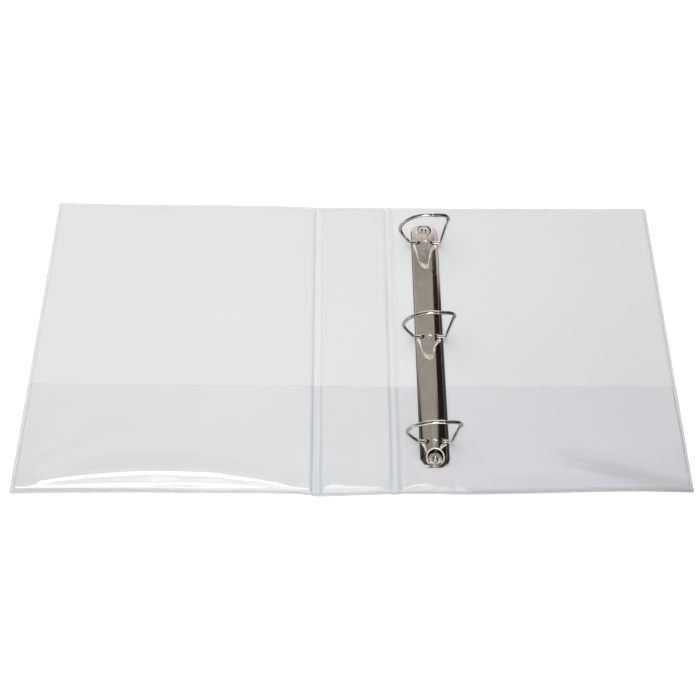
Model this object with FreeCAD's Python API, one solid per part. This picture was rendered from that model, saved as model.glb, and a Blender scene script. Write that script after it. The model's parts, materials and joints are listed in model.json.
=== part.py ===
import FreeCAD, Part
import math
import os

# Three-ring binder lying open and flat on its outside, rings closed. Millimetres.
# Origin: middle of the spine board, on the table plane.
# +X runs across to the back cover, +Y runs up the page, +Z is up.

os.makedirs("parts", exist_ok=True)
V = FreeCAD.Vector
UP = V(0, 0, 1)

# ---------------------------------------------------------------- covers: sizes
COVER_HALF_W = 308.5          # outer edge of either cover
COVER_H = 310.8
COVER_TOP = COVER_H / 2.0
COVER_BOTTOM = -COVER_TOP
CORNER_TOP_R = 3.0            # outer corners of the covers
CORNER_LOW_R = 1.6
WELD_W = 3.0                  # weld around the edge
BOARD_INSET = WELD_W + 0.2    # from a sheet's edge to its board
BOARD_R = 1.2                 # board corners

SPINE_BOARD_HALF_W = 32.5
COVER_BOARD_X = 41.0          # inner edge of either cover board
FOLD_FRONT_X = -37.2          # fold lines of the vinyl
FOLD_BACK_X = 34.2
FOLD_GAP = 0.42               # from a fold line to the sheets on either side
POCKET_FOLD_GAP = 0.66        # the same for the pocket film
POCKET_MOUTH_Y = -50.0

FILM_T = 0.12                 # view film and pocket film
VINYL_T = 0.30
BOARD_T = 2.30
OUTER_Z = FILM_T                        # underside of the outer vinyl
BOARD_Z = OUTER_Z + VINYL_T             # underside of the boards
BOARD_TOP_Z = BOARD_Z + BOARD_T
INNER_TOP_Z = BOARD_TOP_Z + VINYL_T     # upper face of the inner vinyl
POCKET_TOP_Z = INNER_TOP_Z + FILM_T     # upper face of the pocket film

# ---------------------------------------------------------------- ring housing: sizes
MECH_X = 72.6                 # middle of the ring mechanism
RING_PITCH = 107.95
RING_YS = {"lower": -RING_PITCH, "middle": 0.0, "upper": RING_PITCH}

HOUSING_HALF_W = 13.7
HOUSING_HALF_L = 131.6
HOUSING_CORNER_R = 9.5
HOUSING_T = 0.8
HOUSING_TOP = 10.0
HOUSING_FLOOR_Z = POCKET_TOP_Z + HOUSING_T   # floor of the dishes, where the rivets clamp
CROWN_R = 20.0
SLOPE_Y = 115.2               # where the ends start to slope down
SLOPE_FOOT_Z = 4.5            # height of the slope at the housing's end
EDGE_FILLET_R = 1.3
CLEAR_Z = 14.0                # above the whole housing

LIP_W = 3.3
LIP_T = 0.7
DISH_RIM_R = 8.8              # radius of the dish round each rivet, at its rim
DISH_RIM_Z = HOUSING_TOP - 0.9
DISH_FLOOR_R = 6.7
SLOT_R = 2.5                  # slots for the ring feet
SLOT_BOTTOM_Z = 4.6
SLOT_ENDS = (7.5, 9.4)        # slot's end centres from the mechanism's middle
DOME_R = 2.68
DOME_CENTRE_Z = HOUSING_TOP - 1.38
DOME_BOTTOM_Z = 9.35

# ---------------------------------------------------------------- rivets: sizes
RIVET_Y = 124.3
RIVETS = [(MECH_X, -RIVET_Y), (MECH_X, RIVET_Y)]
RIVET_SHANK_R = 3.0
RIVET_HOLE_R = 3.1
RIVET_HEAD_R = 5.6
RIVET_SEAT_R = 5.7
RIVET_HEAD_T = 0.8
RIVET_HEAD_FILLET_R = 0.35
RIVET_FLANGE_R = 6.1
RIVET_FLANGE_T = 1.1
RIVET_FLANGE_FILLET_R = 0.6
RIVET_TOP_Z = HOUSING_FLOOR_Z + RIVET_FLANGE_T
RIVET_MOUTH_R = 3.2           # conical hollow in the flange
RIVET_HOLLOW_R = 1.5
RIVET_HOLLOW_DEPTH = 1.3
GROOVE_COUNT = 6              # radial grooves across the flange
GROOVE_START_ANGLE = 15
GROOVE_L = 4.6
GROOVE_W = 0.55
GROOVE_DEPTH = 0.4

# ---------------------------------------------------------------- blades and rings: sizes
PIVOT_DX = 10.95              # blade's outer edge from the mechanism's middle
PIVOT_Z = 4.97
BLADE_T = 0.8
BLADE_W = 10.92
BLADE_HALF_L = 113.5
BLADE_TILT = 6.0              # degrees the closed blades lean down to the middle
BLADE_NOTCH_R = 2.2
FOOT_INSET = 2.87             # ring foot from the blade's pivot edge
TENON_R = 1.12
TENON_HOLE_R = 1.15
TENON_OVERLAP = 0.3           # tenon's reach into the wire
SWAGE_R = 1.75
SWAGE_T = 0.30

WIRE_R = 1.75
FOOT_BEND_R = 2.1             # first bend above the blade, both halves
LEFT_FOOT_Z = 8.0             # heights of that bend's corner
RIGHT_FOOT_Z = 8.35
TIP_X = 75.7                  # where the two halves of a ring meet
TIP_Z = 58.3
TIP_GAP = 0.06
TIP_POINT = 0.6               # the V's reach either side of TIP_X

# Corners of the left half's centre line: x, z, length of line each bend takes up either side.
LEFT_BENDS = [
    (57.0, 8.75, 3.9),
    (48.1, 23.3, 5.7),
    (44.3, 34.5, 5.7),
    (48.0, 45.6, 5.4),
    (55.3, 53.8, 5.4),
    (65.6, 59.1, 4.6),
    (75.0, 59.0, 2.6),
]
LEFT_END = V(77.6, 0, 58.2)
# Corners of the right half's centre line: x, z, bend radius.
RIGHT_BENDS = [
    (88.8, RIGHT_FOOT_Z, 2.6),
    (92.1, TIP_Z - 0.1, 7.5),
]
RIGHT_END = V(73.6, 0, TIP_Z)


# ---------------------------------------------------------------- helpers
# An outline is (x0, x1, y0, y1).
# Corner radii run lower right, upper right, upper left, lower left.
def slab(outline, z0, z1, radii):
    """A flat plate with its own radius at each corner."""
    x0, x1, y0, y1 = outline
    corners = [(x1, y0, -1, 1), (x1, y1, -1, -1), (x0, y1, 1, -1), (x0, y0, 1, 1)]
    edges = []
    ends = []
    for (x, y, in_x, in_y), r, first in zip(corners, radii, (270, 0, 90, 180)):
        arc = []
        for turn in (0, 45, 90):
            angle = math.radians(first + turn)
            arc.append(V(x + in_x * r + r * math.cos(angle), y + in_y * r + r * math.sin(angle), z0))
        if r > 0:
            edges.append(Part.Arc(*arc).toShape())
        ends.append((arc[0], arc[2]))
    for i in range(4):
        edges.append(Part.makeLine(ends[i][1], ends[(i + 1) % 4][0]))
    face = Part.Face(Part.Wire(Part.__sortEdges__(edges)))
    return face.extrude(V(0, 0, z1 - z0))


def cylinder(r, x, y, z0, z1):
    return Part.makeCylinder(r, z1 - z0, V(x, y, z0), UP)


def polygon_face(points):
    return Part.Face(Part.makePolygon(points + [points[0]]))


def grow(outline, d):
    x0, x1, y0, y1 = outline
    return (x0 - d, x1 + d, y0 - d, y1 + d)


def write(name, shape):
    solids = shape.Solids
    shape = solids[0] if len(solids) == 1 else Part.makeCompound(solids)
    shape.exportStep("parts/%s.step" % name)


# ---------------------------------------------------------------- covers
def panel_outlines(sheet_x, board_x):
    board_y = (COVER_BOTTOM + BOARD_INSET, COVER_TOP - BOARD_INSET)
    return sheet_x + (COVER_BOTTOM, COVER_TOP), board_x + board_y


# Each panel: outlines of its sheets and its board, corner radii of the sheets.
PANELS = {
    "front": (
        *panel_outlines(
            (-COVER_HALF_W, FOLD_FRONT_X - FOLD_GAP),
            (-COVER_HALF_W + BOARD_INSET, -COVER_BOARD_X),
        ),
        (0, 0, CORNER_TOP_R, CORNER_LOW_R),
    ),
    "spine": (
        *panel_outlines(
            (FOLD_FRONT_X + FOLD_GAP, FOLD_BACK_X - FOLD_GAP),
            (-SPINE_BOARD_HALF_W, SPINE_BOARD_HALF_W),
        ),
        (0, 0, 0, 0),
    ),
    "back": (
        *panel_outlines(
            (FOLD_BACK_X + FOLD_GAP, COVER_HALF_W),
            (COVER_BOARD_X, COVER_HALF_W - BOARD_INSET),
        ),
        (CORNER_LOW_R, CORNER_TOP_R, 0, 0),
    ),
}


def raised_sheet(sheet, core, radii, z0, t, z_top):
    """A sheet lying flat around its edge and raised over a core of the given outline."""
    flange = slab(sheet, z0, z0 + t, radii)
    hood = slab(grow(core, t), z0, z_top, (BOARD_R + t,) * 4)
    room = slab(core, z0 - 1.0, z_top - t, (BOARD_R,) * 4)
    return flange.fuse(hood).cut(room).removeSplitter()


def pocket_film(sheet, board, radii):
    """Film on the inner vinyl, below the pocket's mouth, trimmed further back at the folds."""
    x0, x1, y0, y1 = sheet
    trim = POCKET_FOLD_GAP - FOLD_GAP
    if x0 > -COVER_HALF_W:
        x0 += trim
    if x1 < COVER_HALF_W:
        x1 -= trim
    film = raised_sheet(
        (x0, x1, y0, y1), grow(board, VINYL_T), radii, BOARD_Z + VINYL_T, FILM_T, POCKET_TOP_Z
    )
    margin = 5
    below_mouth = Part.makeBox(
        700, POCKET_MOUTH_Y - COVER_BOTTOM + margin, 20, V(-350, COVER_BOTTOM - margin, -margin)
    )
    return film.common(below_mouth)


def panel(sheet, board, radii):
    return {
        "view_film": slab(sheet, 0.0, FILM_T, radii),
        "outer_vinyl": slab(sheet, OUTER_Z, BOARD_Z, radii),
        "board": slab(board, BOARD_Z, BOARD_TOP_Z, (BOARD_R,) * 4),
        "inner_vinyl": raised_sheet(sheet, board, radii, BOARD_Z, VINYL_T, INNER_TOP_Z),
        "pocket_film": pocket_film(sheet, board, radii),
    }


def pierce(layers):
    """Cut the rivets' head seats and bores through a panel's layers."""
    for x, y in RIVETS:
        seat = cylinder(RIVET_SEAT_R, x, y, -1, RIVET_HEAD_T)
        bore = cylinder(RIVET_HOLE_R, x, y, -1, 6)
        for layer in ("view_film", "outer_vinyl", "board"):
            layers[layer] = layers[layer].cut(seat)
        for layer in ("board", "inner_vinyl", "pocket_film"):
            layers[layer] = layers[layer].cut(bore)


# ---------------------------------------------------------------- ring housing
def crowned_block(inset):
    """The solid inside the housing's outline, set in by the given amount."""
    r = HOUSING_CORNER_R - inset
    half_w = HOUSING_HALF_W - inset
    half_l = HOUSING_HALF_L - inset
    # the inner block runs out below, so that cutting it leaves the housing open
    z0 = POCKET_TOP_Z - (1.0 if inset else 0.0)
    block = slab((MECH_X - half_w, MECH_X + half_w, -half_l, half_l), z0, CLEAR_Z, (r,) * 4)
    crown = Part.makeCylinder(
        CROWN_R - inset, 400, V(MECH_X, -200, HOUSING_TOP - CROWN_R), V(0, 1, 0)
    )

    # both ends slope down from the crown
    fall = (HOUSING_TOP - SLOPE_FOOT_Z) / (HOUSING_HALF_L - SLOPE_Y)
    drop = inset * math.sqrt(1 + fall * fall)
    peak_z = CLEAR_Z + 0.5
    peak_y = SLOPE_Y - (peak_z - HOUSING_TOP + drop) / fall
    far_y = 150
    far_z = HOUSING_TOP - drop - fall * (far_y - SLOPE_Y)
    profile = [
        (-far_y, far_z), (-peak_y, peak_z), (peak_y, peak_z),
        (far_y, far_z), (far_y, -30), (-far_y, -30),
    ]
    roof = polygon_face([V(MECH_X - 40, y, z) for y, z in profile]).extrude(V(80, 0, 0))
    body = block.common(crown).common(roof)

    edges = []
    for edge in body.Edges:
        box = edge.BoundBox
        upright = box.XLength < 1e-3 and box.YLength < 1e-3
        if box.ZMax < z0 + 0.4 or upright:
            continue
        # the line where the slope leaves the crown stays sharp
        middle = edge.valueAt((edge.FirstParameter + edge.LastParameter) / 2.0)
        if abs(middle.x - MECH_X) < half_w - r - 0.5 and abs(middle.y) < half_l - r - 0.5:
            continue
        edges.append(edge)
    return body.makeFillet(EDGE_FILLET_R - inset, edges)


def dish_cone(x, y, extra_r):
    """The dish's flared hollow, or its outside when widened, from its floor up past the crown."""
    flare = (DISH_RIM_R - DISH_FLOOR_R) / (DISH_RIM_Z - HOUSING_FLOOR_Z)
    height = CLEAR_Z - HOUSING_FLOOR_Z
    floor_r = DISH_FLOOR_R + extra_r
    return Part.makeCone(floor_r, floor_r + flare * height, height, V(x, y, HOUSING_FLOOR_Z), UP)


def foot_slot(side, y):
    near, far = [MECH_X + side * end for end in SLOT_ENDS]
    slot = cylinder(SLOT_R, near, y, SLOT_BOTTOM_Z, CLEAR_Z)
    slot = slot.fuse(cylinder(SLOT_R, far, y, SLOT_BOTTOM_Z, CLEAR_Z))
    corner = V(min(near, far), y - SLOT_R, SLOT_BOTTOM_Z)
    return slot.fuse(Part.makeBox(abs(far - near), 2 * SLOT_R, CLEAR_Z - SLOT_BOTTOM_Z, corner))


def ring_housing():
    outside = crowned_block(0.0)
    housing = outside.cut(crowned_block(HOUSING_T))

    for x, y in RIVETS:
        base = cylinder(DISH_FLOOR_R + HOUSING_T, x, y, POCKET_TOP_Z, HOUSING_FLOOR_Z + 0.01)
        dish = dish_cone(x, y, HOUSING_T).fuse(base)
        housing = housing.fuse(dish.common(outside)).cut(dish_cone(x, y, 0.0))
        housing = housing.cut(cylinder(RIVET_HOLE_R, x, y, 0, CLEAR_Z))

    # turned-in lips along the bottom of both long sides
    lip_half_l = BLADE_HALF_L + 0.5
    for side in (-1, 1):
        outer_x = MECH_X + side * HOUSING_HALF_W
        inner_x = MECH_X + side * (HOUSING_HALF_W - LIP_W)
        corner = V(min(outer_x, inner_x), -lip_half_l, POCKET_TOP_Z)
        housing = housing.fuse(Part.makeBox(LIP_W, 2 * lip_half_l, LIP_T, corner))

    # a pair of slots for each ring's feet, and a raised dome between them
    for y in RING_YS.values():
        for side in (-1, 1):
            housing = housing.cut(foot_slot(side, y))
        dome = Part.makeSphere(DOME_R, V(MECH_X, y, DOME_CENTRE_Z))
        below = Part.makeBox(10, 10, 10, V(MECH_X - 5, y - 5, DOME_BOTTOM_Z - 10))
        housing = housing.fuse(dome.cut(below))
    return housing.removeSplitter()


# ---------------------------------------------------------------- blades
# A side is -1 for the left (-X) and +1 for the right.
def blade_frame(side):
    """Pivot, inward direction and upward normal of a closed blade."""
    tilt = math.radians(BLADE_TILT)
    pivot = V(MECH_X + side * PIVOT_DX, 0, PIVOT_Z)
    inward = V(-side * math.cos(tilt), 0, -math.sin(tilt))
    normal = V(-side * math.sin(tilt), 0, math.cos(tilt))
    return pivot, inward, normal


def blade(side):
    pivot, inward, normal = blade_frame(side)
    half_t = BLADE_T / 2.0
    inner_edge = pivot + inward * BLADE_W
    outer_top = pivot + normal * half_t
    inner_top = inner_edge + normal * half_t
    inner_low = inner_edge - normal * half_t
    outer_low = pivot - normal * half_t
    section = Part.Wire([
        Part.makeLine(outer_top, inner_top),
        Part.makeLine(inner_top, inner_low),
        Part.makeLine(inner_low, outer_low),
        Part.Arc(outer_low, pivot - inward * half_t, outer_top).toShape(),
    ])
    section.translate(V(0, -BLADE_HALF_L, 0))
    solid = Part.Face(section).extrude(V(0, 2 * BLADE_HALF_L, 0))

    # tenon holes at the rings, then notches in the inner edge midway between them
    holes = [(FOOT_INSET, y, TENON_HOLE_R) for y in RING_YS.values()]
    holes += [(BLADE_W, y, BLADE_NOTCH_R) for y in (-RING_PITCH / 2.0, RING_PITCH / 2.0)]
    for inset, y, r in holes:
        start = pivot + inward * inset - normal * 3 + V(0, y, 0)
        solid = solid.cut(Part.makeCylinder(r, 6, start, normal))
    return solid


# ---------------------------------------------------------------- rings
def bent_line(points, radii):
    """Edges of a line in the XZ plane: straight runs joined by arcs."""
    edges = []
    start = points[0]
    for i, r in enumerate(radii, 1):
        corner = points[i]
        back = (points[i - 1] - corner).normalize()
        ahead = (points[i + 1] - corner).normalize()
        half = back.getAngle(ahead) / 2.0
        reach = r / math.tan(half)
        arc_start = corner + back * reach
        arc_end = corner + ahead * reach
        to_centre = (back + ahead).normalize()
        arc_middle = corner + to_centre * (r / math.sin(half)) - to_centre * r
        edges.append(Part.makeLine(start, arc_start))
        edges.append(Part.Arc(arc_start, arc_middle, arc_end).toShape())
        start = arc_end
    edges.append(Part.makeLine(start, points[-1]))
    return edges


def swept_wire(edges):
    first = edges[0]
    start = first.valueAt(first.FirstParameter)
    tangent = first.tangentAt(first.FirstParameter)
    profile = Part.Wire([Part.makeCircle(WIRE_R, start, tangent)])
    return Part.Wire(edges).makePipeShell([profile], True, False)


def foot_line(side, corner_z):
    """Start of the wire on the blade's upper face, and its first corner at the given height."""
    pivot, inward, normal = blade_frame(side)
    start = pivot + inward * FOOT_INSET + normal * (BLADE_T / 2.0)
    return [start, start + normal * ((corner_z - start.z) / normal.z)]


def tenon(side):
    """Tenon through the blade and the swaged head below it."""
    pivot, inward, normal = blade_frame(side)
    bottom = pivot + inward * FOOT_INSET - normal * (BLADE_T / 2.0 + SWAGE_T)
    pin = Part.makeCylinder(TENON_R, BLADE_T + SWAGE_T + TENON_OVERLAP, bottom, normal)
    return pin.fuse(Part.makeCylinder(SWAGE_R, SWAGE_T, bottom, normal))


def tip_cutter(gap, side):
    """Everything to one side of the V where the two ring tips meet."""
    far_x = TIP_X + side * 8
    root_x = TIP_X - TIP_POINT + gap
    v_half_h = WIRE_R + 0.1
    profile = [
        (far_x, TIP_Z + 4), (root_x, TIP_Z + 4), (root_x, TIP_Z + v_half_h),
        (TIP_X + TIP_POINT + gap, TIP_Z),
        (root_x, TIP_Z - v_half_h), (root_x, TIP_Z - 4), (far_x, TIP_Z - 4),
    ]
    return polygon_face([V(x, -5, z) for x, z in profile]).extrude(V(0, 10, 0))


def left_ring_half():
    """The curved half, with a pointed tip."""
    points = foot_line(-1, LEFT_FOOT_Z) + [V(x, 0, z) for x, z, _ in LEFT_BENDS] + [LEFT_END]
    radii = [FOOT_BEND_R]
    for i, (_, _, reach) in enumerate(LEFT_BENDS, 2):
        back = points[i - 1] - points[i]
        ahead = points[i + 1] - points[i]
        radii.append(reach * math.tan(back.getAngle(ahead) / 2.0))
    wire = swept_wire(bent_line(points, radii))
    return wire.cut(tip_cutter(0.0, 1)).fuse(tenon(-1)).removeSplitter()


def right_ring_half():
    """The straight half, with a V notch in its tip."""
    points = foot_line(1, RIGHT_FOOT_Z) + [V(x, 0, z) for x, z, _ in RIGHT_BENDS] + [RIGHT_END]
    radii = [FOOT_BEND_R] + [r for _, _, r in RIGHT_BENDS]
    wire = swept_wire(bent_line(points, radii))
    return wire.cut(tip_cutter(TIP_GAP, -1)).fuse(tenon(1)).removeSplitter()


# ---------------------------------------------------------------- rivets
def round_rim(disc, z, r):
    """Fillet the disc's circular edge at height z."""
    rim = [e for e in disc.Edges if abs(e.CenterOfMass.z - z) < 1e-6 and e.Length > 3]
    return disc.makeFillet(r, rim)


def rivet(x, y):
    head = cylinder(RIVET_HEAD_R, x, y, 0.0, RIVET_HEAD_T)
    head = round_rim(head, 0.0, RIVET_HEAD_FILLET_R)
    shank = cylinder(RIVET_SHANK_R, x, y, 0.0, HOUSING_FLOOR_Z + 0.5)
    flange = cylinder(RIVET_FLANGE_R, x, y, HOUSING_FLOOR_Z, RIVET_TOP_Z)
    flange = round_rim(flange, RIVET_TOP_Z, RIVET_FLANGE_FILLET_R)
    body = head.fuse(shank).fuse(flange)

    # conical hollow in the top, with radial grooves around it
    hollow_base = V(x, y, RIVET_TOP_Z - RIVET_HOLLOW_DEPTH)
    body = body.cut(
        Part.makeCone(RIVET_HOLLOW_R, RIVET_MOUTH_R, RIVET_HOLLOW_DEPTH, hollow_base, UP)
    )
    for i in range(GROOVE_COUNT):
        groove = Part.makeBox(GROOVE_L, GROOVE_W, GROOVE_DEPTH + 0.1, V(0, -GROOVE_W / 2, 0))
        groove.rotate(V(0, 0, 0), UP, 360 / GROOVE_COUNT * i + GROOVE_START_ANGLE)
        groove.translate(V(x, y, RIVET_TOP_Z - GROOVE_DEPTH))
        body = body.cut(groove)
    return body.removeSplitter()


# ---------------------------------------------------------------- build
for panel_name, outlines in PANELS.items():
    layers = panel(*outlines)
    if panel_name == "back":
        pierce(layers)
    for layer_name, layer in layers.items():
        write(panel_name + "_" + layer_name, layer)

write("ring_housing", ring_housing())
write("left_blade", blade(-1))
write("right_blade", blade(1))

ring_halves = {"left": left_ring_half(), "right": right_ring_half()}
for ring_name, ring_y in RING_YS.items():
    for half_name, half in ring_halves.items():
        placed = half.copy()
        placed.translate(V(0, ring_y, 0))
        write("%s_%s_ring_half" % (ring_name, half_name), placed)

write("housing_rivets", Part.makeCompound([rivet(x, y) for x, y in RIVETS]))
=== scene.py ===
"""A white vinyl ring binder lying open and flat, outside down, with its rings standing up.

+Z is up. The front cover lies towards -X, the spine along Y in the middle and the back cover
towards +X, carrying the ring mechanism. The pockets are closed along the low (-Y) edge, the one
nearest the camera. Shapes are worked out in millimetres and shader positions are in metres.
"""
import json
import math
import bpy
import numpy as np
from mathutils import Matrix, Vector


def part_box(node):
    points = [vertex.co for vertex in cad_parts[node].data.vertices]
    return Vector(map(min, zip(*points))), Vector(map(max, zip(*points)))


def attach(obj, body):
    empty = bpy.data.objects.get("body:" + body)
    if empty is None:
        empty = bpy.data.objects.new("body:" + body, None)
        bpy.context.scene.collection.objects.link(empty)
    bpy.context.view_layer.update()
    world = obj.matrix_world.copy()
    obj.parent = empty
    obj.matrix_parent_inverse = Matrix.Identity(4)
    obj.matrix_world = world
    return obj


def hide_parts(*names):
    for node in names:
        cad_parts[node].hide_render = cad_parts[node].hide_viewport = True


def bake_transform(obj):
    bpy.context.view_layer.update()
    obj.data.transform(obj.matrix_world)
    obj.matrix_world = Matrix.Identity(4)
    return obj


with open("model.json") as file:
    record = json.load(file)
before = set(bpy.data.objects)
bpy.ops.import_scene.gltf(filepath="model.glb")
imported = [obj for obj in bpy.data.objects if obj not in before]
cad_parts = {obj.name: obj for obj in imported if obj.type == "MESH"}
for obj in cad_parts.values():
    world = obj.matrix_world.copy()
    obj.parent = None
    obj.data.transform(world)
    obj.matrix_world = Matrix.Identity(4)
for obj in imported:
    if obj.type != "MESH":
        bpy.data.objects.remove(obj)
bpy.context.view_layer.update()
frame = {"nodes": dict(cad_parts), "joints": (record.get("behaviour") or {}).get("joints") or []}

nodes = frame["nodes"]


# ------------------------------------------------------------------ places from the CAD, in mm
def box_mm(name):
    lo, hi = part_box(name)
    return [v * 1000.0 for v in lo], [v * 1000.0 for v in hi]


def board_rect(panel):
    lo, hi = box_mm(panel + "_board")
    return lo[0], hi[0], lo[1], hi[1]


PANELS = ("front", "spine", "back")
LINKS = {"front": "front_cover", "spine": "spine", "back": "back_cover"}
JOINTS = {joint["name"]: joint for joint in frame["joints"]}
FOLD_FRONT = JOINTS["front_cover_fold"]["pos_m"][0] * 1000.0
FOLD_BACK = JOINTS["spine_fold"]["pos_m"][0] * 1000.0
FOLD_WELDS = (FOLD_FRONT, FOLD_BACK + 2.3)     # x of the welds along the folds

# rectangles are (left, right, low, high)
(X_LEFT, Y_LOW, _), (_, Y_HIGH, Z_TOP) = box_mm("front_inner_vinyl")
X_RIGHT = box_mm("back_inner_vinyl")[1][0]
COVERS = (X_LEFT, X_RIGHT, Y_LOW, Y_HIGH)
BOARDS = {panel: board_rect(panel) for panel in PANELS}
MOUTH_Y = box_mm("front_pocket_film")[1][1]

HOUSING_LO, HOUSING_HI = box_mm("ring_housing")
MECH_X = (HOUSING_LO[0] + HOUSING_HI[0]) / 2.0
RIVET_HEAD_R = 6.1
RIVET_Y = box_mm("housing_rivets")[1][1] - RIVET_HEAD_R
LOWER_RIVET, UPPER_RIVET = (MECH_X, -RIVET_Y), (MECH_X, RIVET_Y)

# ------------------------------------------------------------------ driving sizes, in mm
SEAM = 32.95                    # |x| where the covers' sheets meet the spine's
COVER_CORNER_HIGH, COVER_CORNER_LOW = 3.0, 1.6
BOARD_CORNER = 2.2              # of the raised shape the sheets take over a board
CORE_CORNER = 3.0
CORE_INSET = 0.35
INNER_THICK, OUTER_THICK, POCKET_THICK = 0.26, 0.25, 0.11
VIEW_GAP, VIEW_DEPTH = 0.03, 0.13   # view film's faces below the outer vinyl's underside
INNER_WELD_Z, FILM_WELD_Z = 0.74, 0.90
FILM_GAP = 0.16                 # least distance from the inner vinyl to the film's top

RIVET_HOLE_INNER, RIVET_HOLE_OUTER, RIVET_HOLE_CORE = 3.15, 5.75, 5.8

# the housing: a round-backed crown, sloping ends, and a flared dish round each rivet
CROWN_R, CROWN_Z = 20.0, 10.0
END_Y, END_Z = 115.2, 4.5
DISH_FOOT_R, DISH_LIP_R, DISH_FOOT_Z, DISH_DEPTH = 6.7, 8.8, 3.94, 5.16
DIMPLE_PITCH = 107.95


# ------------------------------------------------------------------ small maths
def smooth(t):
    t = np.clip(t, 0.0, 1.0)
    return t * t * (3.0 - 2.0 * t)


def bell(x, centre, width):
    return np.exp(-((x - centre) / width) ** 2)


def waves(x, y, seed, size):
    """A fixed undulation of about unit height, with features of about the given size in mm."""
    rng = np.random.RandomState(seed)
    count = 7
    total = np.zeros_like(x)
    for _ in range(count):
        angle = rng.uniform(0, 2 * math.pi)
        rate = 2 * math.pi / (size * rng.uniform(0.7, 1.7))
        phase = rng.uniform(0, 2 * math.pi)
        total += np.sin(rate * (x * math.cos(angle) + y * math.sin(angle)) + phase)
    return total / math.sqrt(count)


def curve(x, points):
    """A smooth line through (x, value) points, level beyond the ends (monotone cubic)."""
    knots = np.array([p[0] for p in points], float)
    values = np.array([p[1] for p in points], float)
    gaps = np.diff(knots)
    rises = np.diff(values) / gaps
    before, after = rises[:-1], rises[1:]
    slopes = np.zeros_like(values)
    slopes[1:-1] = np.where(after * before > 0,
                            2 * after * before / (after + before + 1e-12), 0)
    inside = np.clip(x, knots[0], knots[-1])
    i = np.clip(np.searchsorted(knots, inside) - 1, 0, len(gaps) - 1)
    t = (inside - knots[i]) / gaps[i]
    return (values[i] * (1 + 2 * t) * (1 - t) ** 2
            + slopes[i] * gaps[i] * t * (1 - t) ** 2
            + values[i + 1] * t * t * (3 - 2 * t)
            + slopes[i + 1] * gaps[i] * t * t * (t - 1))


def rect_distance(x, y, rect, radius):
    """Signed distance to a rounded rectangle, negative inside."""
    left, right, low, high = rect
    out_x = np.abs(x - (left + right) / 2) - ((right - left) / 2 - radius)
    out_y = np.abs(y - (low + high) / 2) - ((high - low) / 2 - radius)
    outside = np.hypot(np.maximum(out_x, 0), np.maximum(out_y, 0))
    return outside + np.minimum(np.maximum(out_x, out_y), 0) - radius


def edge_distance(x, y, rect=COVERS):
    """Distance in from the nearest side of a rectangle."""
    left, right, low, high = rect
    return np.minimum(np.minimum(x - left, right - x), np.minimum(y - low, high - y))


# ------------------------------------------------------------------ outline and warp of the covers
# (x, shift in y) of the low welded edge: pulled in along each board, running out at the folds
LOW_EDGE_SHIFT = [
    (-304, -0.8), (-290, -0.2), (-270, 0.1), (-250, 0.4), (-220, 0.6), (-190, 0.7), (-150, 0.3),
    (-110, 0.1), (-80, 0.0), (-60, -0.2), (-48, -0.9), (-41, -1.7), (-37, -2.6), (-30, -2.6),
    (-15, -2.1), (0, -1.6), (15, -1.3), (28, -0.6), (34, -1.0), (41, -0.4), (62, -0.2),
    (90, -0.7), (110, -0.8), (140, -0.3), (180, 0.5), (220, 1.5), (260, 1.9), (290, 1.3),
    (304, 0.9)]
HIGH_EDGE_SHIFT = 0.8
EDGE_REACH = 9.0        # how far in from an edge its shift is felt

# (x, height off the table) along the high edge
WARP = [
    (-306, 5.3), (-280, 4.3), (-250, 3.5), (-220, 3.1), (-150, 3.0), (-110, 2.6), (-80, 2.0),
    (-60, 1.2), (-47, 0.35), (-38, 0.0), (112, 0.0), (140, 0.5), (180, 0.8), (220, 1.3),
    (260, 1.6), (290, 2.0), (306, 2.4)]
WARP_LOW = 0.62         # the low edge's share of that height


def round_corners(x, y, rect, radius_low, radius_high):
    """Pulls the square corners of a grid in to quarter circles."""
    left, right, low, high = rect
    for edge_x, inward_x in ((left, 1), (right, -1)):
        for edge_y, inward_y, radius in ((high, -1, radius_high), (low, 1, radius_low)):
            from_x = radius - (x - edge_x) * inward_x
            from_y = radius - (y - edge_y) * inward_y
            corner = (from_x > 0) & (from_y > 0)
            pull = np.maximum(from_x, from_y) / np.maximum(np.hypot(from_x, from_y), 1e-9)
            x = np.where(corner, edge_x + inward_x * (radius - from_x * pull), x)
            y = np.where(corner, edge_y + inward_y * (radius - from_y * pull), y)
    return x, y


def wander(x, y):
    """The covers are not quite straight: where a point of the flat layout really lies."""
    y = y + smooth(1 - (y - Y_LOW) / EDGE_REACH) * curve(x, LOW_EDGE_SHIFT)
    y = y + smooth(1 - (Y_HIGH - y) / EDGE_REACH) * HIGH_EDGE_SHIFT
    along = (y - Y_LOW) / (Y_HIGH - Y_LOW)
    # the front cover spreads outwards at its low end, the back cover at its high end
    front_spread = 2.8 * (1 - along) * np.clip((-x - 41.0) / 267.0, 0, 1)
    back_spread = 1.9 * along * np.clip((x - 100.0) / 208.0, 0, 1)
    return x - front_spread + back_spread, y


def warp(x, y):
    """How far the slightly warped covers stand off the table."""
    along = np.clip((y - Y_LOW) / (Y_HIGH - Y_LOW), 0, 1)
    return curve(x, WARP) * (WARP_LOW + (1 - WARP_LOW) * along)


# ------------------------------------------------------------------ heights of each layer
def over_boards(x, y, reach_in, reach_out):
    """1 on top of a board, 0 on the welds, with a rounded shoulder between."""
    front, spine, back = (rect_distance(x, y, BOARDS[p], BOARD_CORNER) for p in PANELS)
    distance = np.minimum(np.minimum(front, spine), back)
    u = np.clip((distance + reach_in) / (reach_in + reach_out), 0, 1)
    return (1 - u ** 2) ** 0.72


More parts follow.
